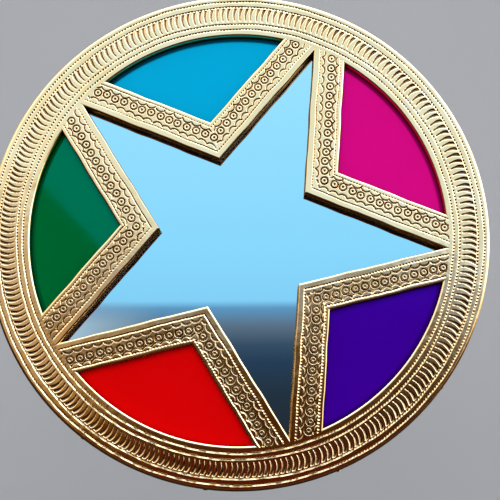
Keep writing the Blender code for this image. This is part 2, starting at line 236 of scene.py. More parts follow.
@dataclass(frozen=True)
class BrassFinish:
    """Brass sheet, polished on its front, dull on its lips and skirt, and darkened by patina in the bottoms of its
    punch marks and by painted shade on its lips, star edges and lower flats.
    """

    clean: Colour = (0.92, 0.68, 0.35)
    warm: Colour = (0.88, 0.62, 0.29)
    dull: Colour = (0.34, 0.21, 0.085)
    dark_patina_and_shade: Colour = (0.065, 0.020, 0.005)
    edge: Colour = (0.70, 0.48, 0.28)
    sharpening: float = 1.3

    def material(self, name: str, punched: bool) -> bpy.types.Material:
        """Make the material.

        Args:
            name: name of the material.
            punched: whether the piece carries the recess of its punch marks and its share of patina and painted shade.

        Returns:
            The material.
        """
        graph = ShaderGraph(name)
        graph.fix(Metallic=1.0, Specular_Tint=(*self.edge, 1.0))
        clouds = graph.remap(graph.noise(28.0, 3.0), 0.35, 0.65)
        colour = graph.blend(clouds, self.clean, self.warm)
        grain = graph.noise(900.0, 3.0, 0.6)
        rough = graph.remap(grain, 0.3, 0.7, 0.05, 0.09)
        height = graph.math("ADD", graph.math("MULTIPLY", graph.noise(190.0, 2.0), 0.16),
                            graph.math("MULTIPLY", grain, 0.008))
        if punched:
            recess, brown, dulled = (graph.add("ShaderNodeAttribute", attribute_name=name).outputs["Fac"]
                                     for name in ("recess", "patina_and_shade", "dullness"))
            colour = graph.blend(dulled, colour, self.dull)
            rough = graph.math("ADD", rough, graph.math("MULTIPLY", dulled, 0.26))
            # dark patina in the hollows of the marks, and painted shade on the lips, the star edges and the lower flats
            patchy = graph.math("MULTIPLY", brown, graph.remap(graph.noise(120.0), 0.3, 0.7, 0.8, 1.0))
            colour = graph.blend(patchy, colour, self.dark_patina_and_shade)
            rough = graph.math("ADD", rough, graph.math("MULTIPLY", brown, 0.12))
            height = graph.math("SUBTRACT", height, graph.math("MULTIPLY", recess, self.sharpening))
        graph.drive("Base Color", colour)
        graph.drive("Roughness", rough)
        graph.bump(height, 1.0, 0.0004)
        return graph.material


@dataclass(frozen=True)
class ResinFinish:
    """Glossy coloured pane, slightly cloudy and not quite flat, with painted shade along its arc where the lip's shadow
    falls.
    """

    colour: Colour
    deep: Colour
    sheen: Colour
    painted_lip_shadow: float = 0.0

    def material(self, name: str) -> bpy.types.Material:
        """Make the material with the given name."""
        graph = ShaderGraph(name)
        graph.fix(Specular_IOR_Level=0.85, Specular_Tint=(*self.sheen, 1.0))
        clouds = graph.remap(graph.noise(9.0, 3.0), 0.3, 0.75)
        body = graph.blend(clouds, self.colour, self.deep)
        # painted shadow: the pane is darkened in a thin band under its arc lip, where the lip's shadow falls
        painted_lip_shadow = graph.remap(graph.reach(), 0.1630, 0.1643, 0.0, self.painted_lip_shadow)
        graph.drive("Base Color", graph.blend(painted_lip_shadow, body, tuple(0.05 * part for part in self.deep)))
        graph.drive("Roughness", graph.remap(graph.noise(260.0, 2.0), 0.3, 0.7, 0.035, 0.06))
        graph.bump(graph.noise(22.0, 1.0), 0.12, 0.0008)
        return graph.material


@dataclass(frozen=True)
class LookingGlassFinish:
    """Silvered glass with a trace of dust and a few blind specks."""

    silver: Colour = (0.90, 0.93, 0.93)
    speck: Colour = (0.12, 0.13, 0.13)

    def material(self, name: str) -> bpy.types.Material:
        """Make the material with the given name."""
        graph = ShaderGraph(name)
        graph.fix(Metallic=1.0)
        cells = graph.add("ShaderNodeTexVoronoi")
        cells.inputs["Scale"].default_value = 70.0
        graph.links.new(graph.place, cells.inputs["Vector"])
        spot = graph.remap(cells.outputs["Distance"], 0.02, 0.05, 1.0, 0.0)
        where = graph.remap(graph.noise(11.0, 2.0), 0.62, 0.70)
        graph.drive("Base Color", graph.blend(graph.math("MULTIPLY", spot, where), self.silver, self.speck))
        graph.drive("Roughness", graph.remap(graph.noise(60.0, 4.0), 0.35, 0.75, 0.012, 0.03))
        return graph.material


@dataclass(frozen=True)
class WoodFinish:
    """Wood with its grain along one way of the wall."""

    pale: Colour
    dark: Colour
    turn: float = 0.0
    grain: float = 420.0
    gloss: float = 0.62

    def material(self, name: str) -> bpy.types.Material:
        """Make the material with the given name."""
        graph = ShaderGraph(name)
        along = graph.stretched((0.05, 1.0, 1.0), self.turn)
        streaks = graph.noise(self.grain, 4.0, 0.65, along)
        figure = graph.noise(26.0, 3.0, 0.5, graph.stretched((0.25, 1.0, 1.0), self.turn))
        mixed = graph.math("ADD", graph.math("MULTIPLY", streaks, 0.6), graph.math("MULTIPLY", figure, 0.4))
        tone = graph.remap(mixed, 0.36, 0.64)
        graph.drive("Base Color", graph.blend(tone, self.dark, self.pale))
        graph.drive("Roughness", graph.remap(streaks, 0.3, 0.7, self.gloss + 0.12, self.gloss - 0.06))
        graph.bump(streaks, 0.35, 0.0004)
        return graph.material


@dataclass(frozen=True)
class ZincFinish:
    """Zinc-plated steel with a spangled, slightly dull skin."""

    bright: Colour = (0.62, 0.63, 0.64)
    dull: Colour = (0.40, 0.41, 0.42)

    def material(self, name: str) -> bpy.types.Material:
        """Make the material with the given name."""
        graph = ShaderGraph(name)
        graph.fix(Metallic=1.0)
        clouds = graph.remap(graph.noise(420.0, 3.0), 0.35, 0.65)
        graph.drive("Base Color", graph.blend(clouds, self.dull, self.bright))
        graph.drive("Roughness", graph.remap(graph.noise(700.0, 2.0), 0.3, 0.7, 0.28, 0.46))
        graph.bump(graph.noise(900.0, 2.0), 0.12, 0.0002)
        return graph.material


@dataclass(frozen=True)
class MirrorPlan:
    """Sizes that the pieces share, in mm; heights are counted from the wall."""

    outer_radius: float = 200.0
    seam_radius: float = 167.8
    window_radius: float = 166.0
    tip_radius: float = 163.96
    notch_radius: float = 62.63
    chevron_width: float = 26.0
    arm_slope: float = math.radians(54.0)
    pane_half_angle: float = math.radians(26.5)
    front: float = 20.95
    lip_end: float = 14.5
    sheet: float = 0.6
    fold: float = 1.5
    fold_steps: int = 6
    edge_radius: float = 2.0
    edge_steps: int = 7
    skirt_end: float = 0.8

    def lip(self) -> list[tuple[float, float]]:
        """Section of a folded lip.

        Returns:
            Places (distance from the window's edge into the sheet, height), from the hidden cut edge to the front.
        """
        rows = [(self.sheet, self.lip_end + 1.2), (self.sheet, self.lip_end), (0.0, self.lip_end),
                (0.0, self.lip_end + 0.8), (0.0, self.lip_end + 2.6)]
        for i in range(self.fold_steps + 1):
            turn = 0.5 * math.pi * i / self.fold_steps
            rows.append((self.fold * (1.0 - math.cos(turn)), self.front - self.fold * (1.0 - math.sin(turn))))
        return rows

    def painted_lip_shade(self, height: np.ndarray) -> np.ndarray:
        """Share of painted shade on a lip, strongest down at the pane."""
        return 1.0 - fade(height, self.lip_end + 2.0, self.lip_end + 4.6)

    def dullness(self, height: np.ndarray) -> np.ndarray:
        """Share of dullness of the brass that is folded down."""
        return 1.0 - fade(height, self.front - 4.0, self.front - 1.8)

    def outer_edge(self) -> list[tuple[float, float]]:
        """Section (radius, height) of the rounded outer edge and the skirt, from the front to the wall."""
        rows = []
        inner = self.outer_radius - self.edge_radius
        for i in range(1, self.edge_steps + 1):
            turn = 0.5 * math.pi * i / self.edge_steps
            rows.append((inner + self.edge_radius * math.sin(turn),
                         self.front - self.edge_radius * (1.0 - math.cos(turn))))
        for height in (13.0, 10.0, 7.0, 4.0, self.skirt_end):
            rows.append((self.outer_radius, height))
        rows.append((self.outer_radius - self.sheet, self.skirt_end))
        rows.append((self.outer_radius - self.sheet, self.skirt_end + 1.5))
        return rows


@dataclass(frozen=True)
class TracedLine:
    """Line traced into the brass with a row of short chisel strokes, in mm."""

    place: float
    half_width: float
    depth: float
    stroke: float
    beading: float
    lightest: float = 0.4

    def dents(self, across: np.ndarray, along: np.ndarray, beading: np.ndarray | float, seed: int) -> np.ndarray:
        """Depth of the line.

        Args:
            across: places across the line.
            along: places along the line.
            beading: how far the strokes stand apart, from 0 to 1.
            seed: seed of the strokes' unevenness.

        Returns:
            Depths in mm.
        """
        rng = np.random.default_rng(seed)
        uneven = rng.uniform(self.lightest, 1.0, 4096)
        start = rng.uniform(0.0, 2.0 * math.pi, 3)
        wander = np.zeros_like(along)
        for length, size, first in ((95.0, 0.22, start[0]), (37.0, 0.14, start[1]), (11.0, 0.07, start[2])):
            wander += size * np.sin(2.0 * math.pi * along / length + first)
        count = along / self.stroke
        bead = 0.5 - 0.5 * np.cos(2.0 * math.pi * count)
        share = 1.0 - beading * (1.0 - bead)
        strength = 1.0 - beading * (1.0 - uneven[np.floor(count).astype(int) % uneven.size])
        return self.depth * share * strength * crease(across - self.place - wander, self.half_width)


@dataclass(frozen=True)
class RingRelief:
    """Punch work of the wide ring: four traced lines and a row of curved strokes."""

    lines: tuple[TracedLine, ...] = (
        TracedLine(195.4, 0.75, 0.42, 2.6, 1.0),
        TracedLine(190.6, 0.75, 0.42, 2.6, 1.0),
        TracedLine(175.9, 0.75, 0.42, 2.6, 1.0),
        TracedLine(171.3, 0.75, 0.42, 2.6, 1.0),
    )
    stains: TracedLine = TracedLine(169.2, 2.0, 1.0, 3.1, 1.0, 0.1)
    rough_place: float = math.radians(246.0)
    smooth_place: float = math.radians(278.0)
    plain_place: float = math.radians(112.0)
    heavy_place: float = math.radians(10.0)
    light_place: float = math.radians(152.0)
    strokes: int = 252
    drift: tuple[tuple[int, float, float], ...] = ((1, 20.5, 245.0), (4, 9.0, 40.0))
    inner: float = 177.7
    outer: float = 189.5
    bow: float = 1.25
    bow_change: float = 0.3
    lean: float = 0.35
    hook: float = 0.5
    crown: float = 0.04
    seed: int = 5

    def smoothness(self, angle: np.ndarray) -> np.ndarray:
        """Share by which the lines are drawn smooth and bright, most where smooth_place is."""
        return np.clip(np.cos(angle - self.smooth_place), 0.0, 1.0) ** 0.6

    def marks(self, radius: np.ndarray, angle: np.ndarray) -> tuple[np.ndarray, np.ndarray]:
        """Punch work at places of the ring.

        Args:
            radius: distances from the middle in mm.
            angle: angles in radians.

        Returns:
            The depth in mm and the share of patina and painted shade.
        """
        smooth = self.smoothness(angle)
        plain = np.clip(np.cos(angle - self.plain_place), 0.0, 1.0) ** 2
        beading = np.clip(1.0 - 0.9 * smooth - 0.4 * plain, 0.1, 1.0)
        rough = fade(np.cos(angle - self.rough_place), 0.86, 0.97)
        lines = np.zeros_like(radius)
        for number, line in enumerate(self.lines):
            rounded = 2.0 * math.pi * line.place / line.stroke
            along = angle * round(rounded) * line.stroke / (2.0 * math.pi)
            lines = np.maximum(lines, line.dents(radius, along, line.beading * beading, self.seed + number))
        strokes = self.curved_strokes(radius, angle)
        # the marks' darkening is patina in their hollows and painted shade: it is made heavier or lighter round the
        # ring after how light falls there, and thinned at the bottom so the lines stay bright
        heavy = np.clip(np.cos(angle - self.heavy_place), 0.0, 1.0)
        light = np.clip(np.cos(angle - self.light_place), 0.0, 1.0) ** 4
        outer_end = fade(radius, self.inner + 4.0, self.inner + 7.0)
        tail = 0.9 + 0.1 * heavy
        stained = (tail + (1.0 - tail) * outer_end) * (1.0 - 0.15 * light) * (1.0 - 0.05 * smooth)
        lower = np.clip(np.cos(angle - math.radians(300.0)), 0.0, 1.0)
        brown = np.maximum(patina_and_shade(1.2 * lines) * (1.0 - smooth), patina_and_shade((2.0 - 1.2 * lower) * strokes) * stained)
        ragged = rough * self.stains.dents(radius, angle * self.stains.place, 1.0, self.seed)
        depth = np.maximum(lines, strokes)
        # painted shade: the flats of the lower right of the ring are darkened, as the brass there lies in shade
        shaded = np.clip(np.cos(angle - math.radians(328.0)), 0.0, 1.0) ** 2
        field = 0.3 * shaded * (1.0 - fade(depth, 0.01, 0.10)) * fade(radius, 171.0, 173.0)
        return depth, np.maximum(np.maximum(brown, field), 0.9 * ragged)

    def turns(self, angle: np.ndarray) -> np.ndarray:
        """Number of strokes passed at an angle; their spacing drifts as the hand goes round."""
        total = self.strokes * angle / (2.0 * math.pi)
        for order, size, start in self.drift:
            total = total + size / (2.0 * math.pi * order) * np.sin(order * angle - math.radians(start))
        return total

    def curved_strokes(self, radius: np.ndarray, angle: np.ndarray) -> np.ndarray:
        """Depth of the row of curved strokes, broad at their outer ends."""
        rng = np.random.default_rng(self.seed)
        shift = rng.normal(0.0, 0.05, self.strokes)
        force = rng.uniform(0.82, 1.0, self.strokes)
        turn = self.turns(angle)
        nearest = np.round(turn).astype(int)
        along = (2.0 * radius - self.inner - self.outer) / (self.outer - self.inner)
        share = np.clip(0.5 + 0.5 * along, 0.0, 1.0)
        bow = self.bow - self.bow_change * np.sin(angle)
        bend = bow * (1.0 - along ** 2) - self.lean * along - self.hook * np.clip(along - 0.2, 0.0, 1.0) ** 2
        width = 0.75 + 0.85 * fade(share, 0.25, 0.85)
        ends = fade(along, -1.0, -0.7) * (1.0 - fade(along, 0.88, 1.0))
        total = np.zeros_like(radius)
        for step in (-1, 0, 1):
            index = nearest + step
            middle = index + shift[index % self.strokes]
            off = (turn - middle) * 2.0 * math.pi / self.strokes * radius - bend
            stroke = (0.28 + 0.18 * share) * force[index % self.strokes] * dent(off, width)
            total = np.maximum(total, stroke)
        return total * ends

    def swell(self, radius: np.ndarray) -> np.ndarray:
        """Height of the slight crowns between the traced lines, at most 0."""
        edges = (self.lines[3].place, self.lines[2].place, self.lines[1].place, self.lines[0].place)
        crown = np.zeros_like(radius)
        for low, high in zip(edges[:-1], edges[1:]):
            part = np.clip((2.0 * radius - low - high) / (high - low), -1.0, 1.0)
            crown = np.maximum(crown, self.crown * (1.0 - part ** 2))
        return crown - self.crown


@dataclass(frozen=True)
class BandRelief:
    """Punch work of one arm of a chevron: rings between two rows of scallops and two traced lines."""

    ring_row: float = 15.2
    ring_pitch: float = 7.9
    ring_count: int = 13
    ring_radius: float = 2.85
    ring_half_width: float = 0.95
    ring_depth: float = 0.5
    dot_radius: float = 0.95
    dot_depth: float = 0.42
    scallop_radius: float = 4.6
    scallop_spread: float = math.radians(64.0)
    scallop_depth: float = 0.5
    scallop_half_width: float = 0.95
    pane_apex: float = 18.6
    star_apex: float = 10.0
    pane_line: TracedLine = TracedLine(22.4, 0.85, 0.32, 2.5, 1.0, 0.25)
    star_line: TracedLine = TracedLine(5.6, 0.85, 0.32, 2.5, 1.0, 0.25)

    @classmethod
    def light(cls) -> "BandRelief":
        """Punch work that is struck more lightly and so stands finer."""
        return cls(ring_half_width=0.8, ring_depth=0.45, dot_radius=1.15, dot_depth=0.5, scallop_half_width=0.8,
                   scallop_depth=0.44,
                   pane_line=TracedLine(22.4, 0.7, 0.22, 2.5, 1.0, 0.25),
                   star_line=TracedLine(5.6, 0.7, 0.22, 2.5, 1.0, 0.25))

    def depth(self, along: np.ndarray, across: np.ndarray, slope: float, seed: int) -> np.ndarray:
        """Depth of the punch work at places of an arm.

        Args:
            along: places along the star's edge from the chevron's corner, in mm.
            across: places across the arm from the star's edge, in mm.
            slope: angle between the star's edge and the mitre.
            seed: seed of the arm's unevenness.

        Returns:
            Depths in mm.
        """
        rng = np.random.default_rng(seed)
        from_mitre = along * math.sin(slope) - across * math.cos(slope)
        start = self.ring_row / math.tan(slope)
        inside = fade(from_mitre, 0.2, 1.4)
        total = self.rings(along, across, start, rng)
        for apex, way in ((self.pane_apex, 1.0), (self.star_apex, -1.0)):
            total = np.maximum(total, inside * self.scallops(along, across, apex, way, rng))
        for number, line in enumerate((self.pane_line, self.star_line)):
            beading = line.beading * (0.7 + 0.3 * np.sin(along / 31.0 + rng.uniform(0.0, 6.0)))
            total = np.maximum(total, line.dents(across, along, beading, seed * 7 + number))
        return total

    def rings(self, along: np.ndarray, across: np.ndarray, start: float, rng: np.random.Generator) -> np.ndarray:
        """Depth of the row of ring punches with their middle dots, the first one on the mitre."""
        shift_along = np.append(0.0, rng.normal(0.0, 0.28, self.ring_count))
        shift_across = np.append(0.0, rng.normal(0.0, 0.32, self.ring_count))
        force = rng.uniform(0.8, 1.0, self.ring_count + 1)
        nearest = np.round((along - start) / self.ring_pitch).astype(int)
        total = np.zeros_like(along)
        for step in (-1, 0, 1):
            raw = nearest + step
            index = np.clip(raw, 0, self.ring_count)
            away = np.hypot(along - start - index * self.ring_pitch - shift_along[index],
                            across - self.ring_row - shift_across[index])
            ring = self.ring_depth * dent(away - self.ring_radius, self.ring_half_width)
            dot = self.dot_depth * dent(away, self.dot_radius)
            total = np.maximum(total, force[index] * np.maximum(ring, dot))
        return total

    def scallops(self, along: np.ndarray, across: np.ndarray, apex: float, way: float,
                 rng: np.random.Generator) -> np.ndarray:
        """Depth of a row of scallops.

        Args:
            along: places along the star's edge, in mm.
            across: places across the arm, in mm.
            apex: place across the arm that the scallops bow to.
            way: 1 where they open towards the pane, -1 towards the star.
            rng: source of their unevenness.

        Returns:
            Depths in mm.
        """
        count = self.ring_count + 6
        start = rng.uniform(0.0, self.ring_pitch)
        shift_along = rng.normal(0.0, 0.3, count)
        shift_across = rng.normal(0.0, 0.3, count)
        tilt = rng.normal(0.0, 0.10, count)
        force = rng.uniform(0.75, 1.0, count)
        nearest = np.round((along - start) / self.ring_pitch).astype(int)
        total = np.zeros_like(along)
        for step in (-1, 0, 1):
            index = np.clip(nearest + step, 0, count - 1)
            side = along - start - index * self.ring_pitch - shift_along[index]
            up = (apex + shift_across[index] - across) * way + self.scallop_radius
            away = np.hypot(side, up)
            swing = np.arctan2(side, up) + tilt[index]
            ends = 1.0 - fade(np.abs(swing), self.scallop_spread - 0.2, self.scallop_spread)
            lean = 0.82 + 0.18 * swing / self.scallop_spread
            groove = self.scallop_depth * dent(away - self.scallop_radius, self.scallop_half_width)
            total = np.maximum(total, groove * ends * lean * force[index])
        return total


def put_places(verts: list[bmesh.types.BMVert], places: np.ndarray) -> None:
    """Move vertices to places."""
    for vert, place in zip(verts, places):
        vert.co = place


def take_places(verts: list[bmesh.types.BMVert]) -> np.ndarray:
    """Places of vertices as an array."""
    return np.array([vert.co[:] for vert in verts])


def swept_grid(bm: bmesh.types.BMesh, rows: int, columns: int) -> tuple[list[bmesh.types.BMVert], np.ndarray, np.ndarray]:
    """Add a flat grid that a section is swept on.

    Args:
        bm: mesh that gets the grid.
        rows: number of steps across the section.
        columns: number of steps along the sweep.

    Returns:
        The grid's vertices, their row numbers and their shares of the way along the sweep.
    """
    verts = bmesh.ops.create_grid(bm, x_segments=columns, y_segments=rows, size=1.0)["verts"]
    unit = take_places(verts)
    return verts, np.rint((unit[:, 1] + 1.0) * 0.5 * rows).astype(int), (unit[:, 0] + 1.0) * 0.5


def face_front(bm: bmesh.types.BMesh, verts: list[bmesh.types.BMVert]) -> None:
    """Turn the faces of a swept grid so that its front faces up."""
    faces = list({face for vert in verts for face in vert.link_faces})
    bmesh.ops.recalc_face_normals(bm, faces=faces)
    if sum(face.normal.z for face in faces) < 0.0:
        bmesh.ops.reverse_faces(bm, faces=faces)


def make_piece(name: str, bm: bmesh.types.BMesh, material: bpy.types.Material,
               nodes: tuple[str, ...], sharp: float = math.radians(70.0)) -> bpy.types.Object:
    """Turn a mesh in plan millimetres into a piece that rides on the mirror.

    Args:
        name: name of the piece.
        bm: its mesh, lying with the front up; it is used up.
        material: its finish.
        nodes: CAD nodes that it stands for.
        sharp: angle from which an edge stays sharp.

    Returns:
        The piece.
    """
    bmesh.ops.transform(bm, matrix=STAND_UP, verts=bm.verts)
    mesh = bpy.data.meshes.new(name)
    bm.to_mesh(mesh)
    bm.free()
    mesh.shade_smooth()
    mesh.set_sharp_from_angle(angle=sharp)
    mesh.materials.append(material)
    piece = bpy.data.objects.new(name, mesh)
    bpy.context.scene.collection.objects.link(piece)
    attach(piece, BODY)
    if nodes:
        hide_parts(*nodes)
    LOG.info("%s: %d faces", name, len(mesh.polygons))
    return piece


def dress(node: str, material: bpy.types.Material) -> None:
    """Give a CAD node that stays in sight a finish."""
    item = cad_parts[node]
    if not item.material_slots:
        item.data.materials.append(material)
    for place in item.material_slots:
        place.material = material
    LOG.info("%s: dressed with %s", node, material.name)


@dataclass
class EngravedRing:
    """The wide punched ring of the brass sheet, with its rounded edge, skirt and the lips at the panes' arcs."""

    plan: MirrorPlan
    relief: RingRelief
    brass: bpy.types.Material
    rows: int = 96
    columns: int = 700
    lip_overlap: float = math.radians(0.7)
    lip_columns: int = 180

    def build(self) -> list[bpy.types.Object]:
        """Build five sectors and five arc lips."""
        pieces = []
        for number in range(STAR_POINTS):
            pieces.append(self.sector(number))
        for colour in PaneColour:
            pieces.append(self.arc_lip(colour))
        return pieces

    def section(self) -> list[tuple[float, float]]:
        """Section (radius, height) of the ring from where it meets the chevrons outwards."""
        inner = self.plan.seam_radius
        end = self.plan.outer_radius - self.plan.edge_radius
        rows = [(inner + (end - inner) * i / self.rows, self.plan.front) for i in range(self.rows + 1)]
        return rows + self.plan.outer_edge()

    def bent(self, section: list[tuple[float, float]], start: float, angle: float,
             columns: int) -> tuple[bmesh.types.BMesh, list[bmesh.types.BMVert], np.ndarray]:
        """Sweep a section round the middle.

        Args:
            section: places (radius, height).
            start: angle at which the sweep starts.
            angle: angle that it covers.
            columns: number of steps.

        Returns:
            The mesh, its vertices and an array of their radius, angle and height.
        """
        bm = bmesh.new()
        verts, row, share = swept_grid(bm, len(section) - 1, columns)
        table = np.array(section)
        return bm, verts, np.column_stack([table[row, 0], start + share * angle, table[row, 1]])

    def settle(self, bm: bmesh.types.BMesh, verts: list[bmesh.types.BMVert], radius: np.ndarray, angle: np.ndarray,
               height: np.ndarray) -> None:
        """Move the vertices of a swept section to their places."""
        put_places(verts, np.column_stack([radius * np.cos(angle), radius * np.sin(angle), height]))
        face_front(bm, verts)

    def sector(self, number: int) -> bpy.types.Object:
        """Build one fifth of the ring with its punch work."""
        start = math.radians(90.0) + STEP * (number - 0.5)
        bm, verts, table = self.bent(self.section(), start, STEP, self.columns)
        radius, angle, height = table.T
        depth, dark_patina_and_shade = self.relief.marks(radius, angle)
        on_front = fade(height, self.plan.front - 1.2, self.plan.front - 0.2)
        rise = self.relief.swell(radius) + sheet_waves(radius * np.cos(angle), radius * np.sin(angle))
        self.settle(bm, verts, radius, angle, height + on_front * (rise - depth))
        piece = make_piece(f"brass_ring_{number + 1}", bm, self.brass, ("brass_front",))
        mark_recess(piece, on_front * depth, on_front * dark_patina_and_shade, self.plan.dullness(height))
        return piece

    def arc_lip(self, colour: PaneColour) -> bpy.types.Object:
        """Build the lip that is folded down along the arc of one pane."""
        section = [(self.plan.window_radius + inset, height) for inset, height in self.plan.lip()]
        section.append((self.plan.seam_radius, self.plan.front))
        half = self.plan.pane_half_angle + self.lip_overlap
        bm, verts, table = self.bent(section, colour.angle - half, 2.0 * half, self.lip_columns)
        radius, angle, height = table.T
        on_front = fade(height, self.plan.front - 1.2, self.plan.front)
        rise = sheet_waves(radius * np.cos(angle), radius * np.sin(angle)) - self.relief.crown
        self.settle(bm, verts, radius, angle, height + on_front * rise)
        piece = make_piece(f"{colour.label}_arc_lip", bm, self.brass, ("brass_front",))
        # painted shade: each arc lip is darkened towards its pane, most on the turquoise arc at the top, where the lip
        # lies in shade
        darkening = self.plan.painted_lip_shade(height if colour is PaneColour.TURQUOISE else height + 2.4)
        mark_recess(piece, np.zeros_like(height), darkening, np.zeros_like(height))
        return piece


def mark_recess(piece: bpy.types.Object, depth: np.ndarray, dark_patina_and_shade: np.ndarray, dulled: np.ndarray,
                full: float = 0.44) -> None:
    """Store how deep each vertex lies in a punch mark, how dark it is from patina and painted shade, and how dull it
    is, for the brass finish.

    Args:
        piece: the brass piece.
        depth: depths of its vertices in mm.
        dark_patina_and_shade: their shares of patina and painted shade.
        dulled: their shares of dullness.
        full: depth that counts as 1.
    """
    for name, values in (("recess", depth / full), ("patina_and_shade", dark_patina_and_shade), ("dullness", dulled)):
        layer = piece.data.attributes.new(name, "FLOAT", "POINT")
        layer.data.foreach_set("value", np.clip(values, 0.0, 1.0).astype(np.float32))


@dataclass
class Chevron:
    """One chevron of the brass sheet: two punched arms that meet in a mitre, with lips at the star and the pane."""

    plan: MirrorPlan
    relief: BandRelief
    brass: bpy.types.Material
    colour: PaneColour
    rows: int = 80
    columns: int = 370
    shade_side_place: float = math.radians(292.4)
    wobble: float = 0.22

    def build(self) -> bpy.types.Object:
        """Build both arms as one piece."""
        bm = bmesh.new()
        right = self.arm(bm, -1)
        left = self.arm(bm, 1)
        name = f"{self.colour.label}_chevron"
        piece = make_piece(name, bm, self.brass, ("brass_front",))
        mark_recess(piece, *(np.append(first, second) for first, second in zip(right, left)))
        return piece

    def section(self) -> list[tuple[float, float]]:
        """Section of an arm (place across from the star's edge, height), from lip to lip."""
        lip = self.plan.lip()
        width = self.plan.chevron_width
        inner = [(self.plan.fold + (width - 2.0 * self.plan.fold) * i / self.rows, self.plan.front)
                 for i in range(1, self.rows)]
        return lip + inner + [(width - place, height) for place, height in reversed(lip)]

    def arm(self, bm: bmesh.types.BMesh, side: int) -> tuple[np.ndarray, np.ndarray, np.ndarray]:
        """Add one arm to the mesh.

        Args:
            bm: mesh of the chevron.
            side: -1 for the arm to the right of the chevron's corner, 1 for the one to its left, seen from the middle.

        Returns:
            The depth of the punch work at the arm's vertices, and the shares of patina with painted shade and of
            dullness.
        """
        section = np.array(self.section())
        verts, row, share = swept_grid(bm, len(section) - 1, self.columns)
        across = section[row, 0]
        height = section[row, 1]
        slope = self.plan.arm_slope
        middle = self.colour.angle
        corner = self.plan.notch_radius * np.array([math.cos(middle), math.sin(middle)])
        run = np.array([math.cos(middle + side * slope), math.sin(middle + side * slope)])
        out = np.array([side * run[1], -side * run[0]])
        tip_angle = middle + side * 0.5 * STEP
        tip = np.array([math.cos(tip_angle), math.sin(tip_angle)])
        base = corner[None, :] + across[:, None] * out[None, :]
        ahead = base @ run
        to_ring = -ahead + np.sqrt(ahead ** 2 - (base ** 2).sum(1) + self.plan.seam_radius ** 2)
        to_tip = -(tip[0] * base[:, 1] - tip[1] * base[:, 0]) / (tip[0] * run[1] - tip[1] * run[0])
        first = across / math.tan(slope)
        last = np.minimum(to_ring, np.where(to_tip > first, to_tip, to_ring))
        along = first + share * (last - first)
        seed = int(self.colour.value) * 2 + (side > 0)
        wobble = self.wobble * np.sin(math.pi * share) * (np.sin(along / 8.3 + seed) + 0.5 * np.sin(along / 3.7 + 2 * seed))
        plan = base + along[:, None] * run[None, :] + wobble[:, None] * out[None, :]
        depth = self.relief.depth(along, across, slope, seed)
        on_front = fade(height, self.plan.front - 0.5, self.plan.front)
        depth = depth * on_front
        rise = on_front * (sheet_waves(plan[:, 0], plan[:, 1]) - RingRelief.crown)
        put_places(verts, np.column_stack([plan, height + rise - depth]))
        face_front(bm, verts)
        # painted shade: towards shade_side_place, the lower side of the mirror, the brass is darkened as it reflects
        # the dark ground
        low = plan @ np.array([math.cos(self.shade_side_place), math.sin(self.shade_side_place)])
        lower = fade(low, -20.0, 70.0)
        from_pane = self.plan.chevron_width - across
        field = on_front * fade(np.minimum(across, from_pane), 4.6, 6.6) * (1.0 - fade(depth, 0.01, 0.10))
        traced = (np.minimum(np.abs(across - self.relief.star_line.place),
                             np.abs(across - self.relief.pane_line.place)) < 1.0)
        # patina in the hollows of the marks, thinned on the lower side so their walls stay bright, with painted shade
        # over the lower flats
        marks = patina_and_shade(np.where(traced, 2.2, 1.0) * depth) * (1.0 - lower) + fade(depth, 0.14, 0.36) * lower
        darkening = np.maximum(marks, 0.35 * lower * field)
        # painted shade: a dark line along the fold at the star's edge, on the upper side of the mirror only
        edge = (1.0 - lower) * fade(height, self.plan.front - 1.6, self.plan.front - 1.4)
        darkening = np.maximum(darkening, edge * (1.0 - fade(across, 0.45, 1.05)))
        # painted shade on the lip at the pane's side and along the pane's edge
        painted_lip_shadow = np.maximum(self.plan.painted_lip_shade(height), 1.0 - fade(from_pane, 0.3, 0.8))
        dulled = (across < from_pane) * self.plan.dullness(height)
        return depth, np.maximum(darkening, (from_pane < across) * painted_lip_shadow), dulled


@dataclass
class Panes:
    """The five coloured panes and the thin beds under them."""

    finishes: dict[PaneColour, ResinFinish]
    bed: bpy.types.Material

    def dress(self) -> None:
        """Give each pane its colour and each bed its wood."""
        for colour, finish in self.finishes.items():
            dress(f"{colour.label}_pane", finish.material(f"{colour.label}_resin"))
            dress(f"{colour.label}_pane_bed", self.bed)


@dataclass
class WoodenCore:
    """The rim, the mitred battens and the round back board."""

    batten: WoodFinish
    rim: bpy.types.Material
    board: bpy.types.Material

    def dress(self) -> None:
        """Stain the battens along their own lengths, and dress the rim and the back."""
        for colour in PaneColour:
            for side, way in (("left", 1.0), ("right", -1.0)):
                turn = colour.angle + way * math.radians(54.0)
                finish = WoodFinish(self.batten.pale, self.batten.dark, turn, self.batten.grain, self.batten.gloss)
                label = f"{colour.label}_batten_{side}"
                dress(label, finish.material(f"{label}_wood"))
        dress("wooden_rim", self.rim)
        dress("base_board", self.board)


@dataclass
class Fixings:
    """The tacks of the skirt, the nails of the back and the swinging hanger."""

    tack: bpy.types.Material
    steel: bpy.types.Material

    def dress(self) -> None:
        """Give every fixing its metal."""
        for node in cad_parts:
            if node.startswith("rim_tack"):
                dress(node, self.tack)
            elif node.startswith(("board_nail", "hanger")):
                dress(node, self.steel)


